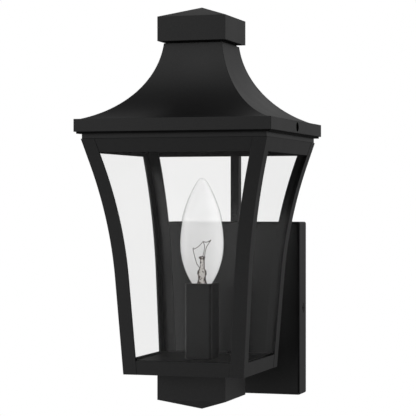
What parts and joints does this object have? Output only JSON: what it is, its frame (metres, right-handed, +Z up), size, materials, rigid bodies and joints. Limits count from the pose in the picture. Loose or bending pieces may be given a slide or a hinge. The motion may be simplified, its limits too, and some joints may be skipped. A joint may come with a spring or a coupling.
{
  "type": "outdoor wall lantern",
  "caption": "Flared square wall lantern: curved clear panes between L-section posts, a swept roof that lifts off, a candle-style lamp, and a box canopy with an upright square-tube arm.",
  "frame": {"origin": "centre of the crossbar's and canopy's back, in the plane of the wall", "axes": "+Z up, +Y into the wall, +X to the right for someone facing the wall; the lantern stands out along -Y"},
  "size_m": [0.15, 0.1765, 0.3053],
  "materials": {
    "black_metal": "satin powder coat",
    "inner_black": "matte",
    "black_screw": "satin",
    "zinc_steel": "zinc plated",
    "green_screw": "satin",
    "gasket_foam": "matte",
    "window_glass": "clear",
    "socket_body": "matte",
    "brass": "satin",
    "lead_black": "satin",
    "lead_white": "satin",
    "copper": "bare",
    "connector_plastic": "matte",
    "bulb_glass": "clear",
    "bulb_insulator": "vitreous",
    "solder": "dull",
    "stem_glass": "clear",
    "filament": "dark wire"
  },
  "bodies": {
    "fixture": {"wall_canopy": "black_metal", "support_arm": "black_metal", "lower_stem": "black_metal", "frame_top_band": "black_metal", "corner_post_front_left": "black_metal", "corner_post_front_right": "black_metal", "corner_post_back_left": "black_metal", "corner_post_back_right": "black_metal", "top_rail_front": "black_metal", "top_rail_right": "black_metal", "top_rail_back": "black_metal", "top_rail_left": "black_metal", "bottom_rail_front": "black_metal", "bottom_rail_right": "black_metal", "bottom_rail_back": "black_metal", "bottom_rail_left": "black_metal", "base_pan": "black_metal", "base_cover": "black_metal", "bottom_finial": "black_metal", "candle_sleeve": "black_metal", "crossbar": "zinc_steel", "arm_flange": "zinc_steel", "stem_flange": "zinc_steel", "glass_clips": "zinc_steel", "centre_nipple": "zinc_steel", "nipple_nuts": "zinc_steel", "socket_bracket": "zinc_steel", "socket_rivet": "zinc_steel", "ground_lug": "zinc_steel", "ground_screw": "green_screw", "wall_gasket": "gasket_foam", "glass_front": "window_glass", "glass_right": "window_glass", "glass_back": "window_glass", "glass_left": "window_glass", "lamp_socket": "socket_body", "socket_shell": "brass", "socket_contact": "brass", "lead_line": "lead_black", "lead_neutral": "lead_white", "lead_ground": "copper", "wire_connectors": "connector_plastic"},
    "roof": {"roof_rim": "black_metal", "roof_panels": "black_metal", "neck_plate": "inner_black", "roof_liner": "inner_black", "roof_clinch_nuts": "zinc_steel", "roof_cap": "black_metal", "cap_stud": "zinc_steel", "cap_nut": "zinc_steel"},
    "bulb": {"bulb_envelope": "bulb_glass", "bulb_base": "brass", "bulb_insulator": "bulb_insulator", "bulb_contact": "solder", "bulb_mount": "stem_glass", "bulb_filament": "filament"},
    "left_roof_screw": {"roof_screw_left": "black_screw"},
    "right_roof_screw": {"roof_screw_right": "black_screw"},
    "left_canopy_screw": {"canopy_screw_left": "black_screw"},
    "right_canopy_screw": {"canopy_screw_right": "black_screw"}
  },
  "joints": [
    {"name": "roof_lift", "type": "slide", "parent": "fixture", "child": "roof", "axis": [0, 0, 1], "range_m": [0, 0.12]},
    {"name": "bulb_unscrew", "type": "hinge", "parent": "fixture", "child": "bulb", "pos_m": [0, -0.1015, 0.01], "axis": [0, 0, 1], "range_deg": [0, 1080]},
    {"name": "left_roof_screw_turn", "type": "hinge", "parent": "roof", "child": "left_roof_screw", "pos_m": [-0.0735, -0.1015, 0.1409], "axis": [-1, 0, 0], "range_deg": [0, 1080]},
    {"name": "right_roof_screw_turn", "type": "hinge", "parent": "roof", "child": "right_roof_screw", "pos_m": [0.0735, -0.1015, 0.1409], "axis": [1, 0, 0], "range_deg": [0, 1080]},
    {"name": "left_canopy_screw_turn", "type": "hinge", "parent": "fixture", "child": "left_canopy_screw", "pos_m": [-0.0545, -0.01, 0], "axis": [-1, 0, 0], "range_deg": [0, 1800]},
    {"name": "right_canopy_screw_turn", "type": "hinge", "parent": "fixture", "child": "right_canopy_screw", "pos_m": [0.0545, -0.01, 0], "axis": [1, 0, 0], "range_deg": [0, 1800]}
  ]
}
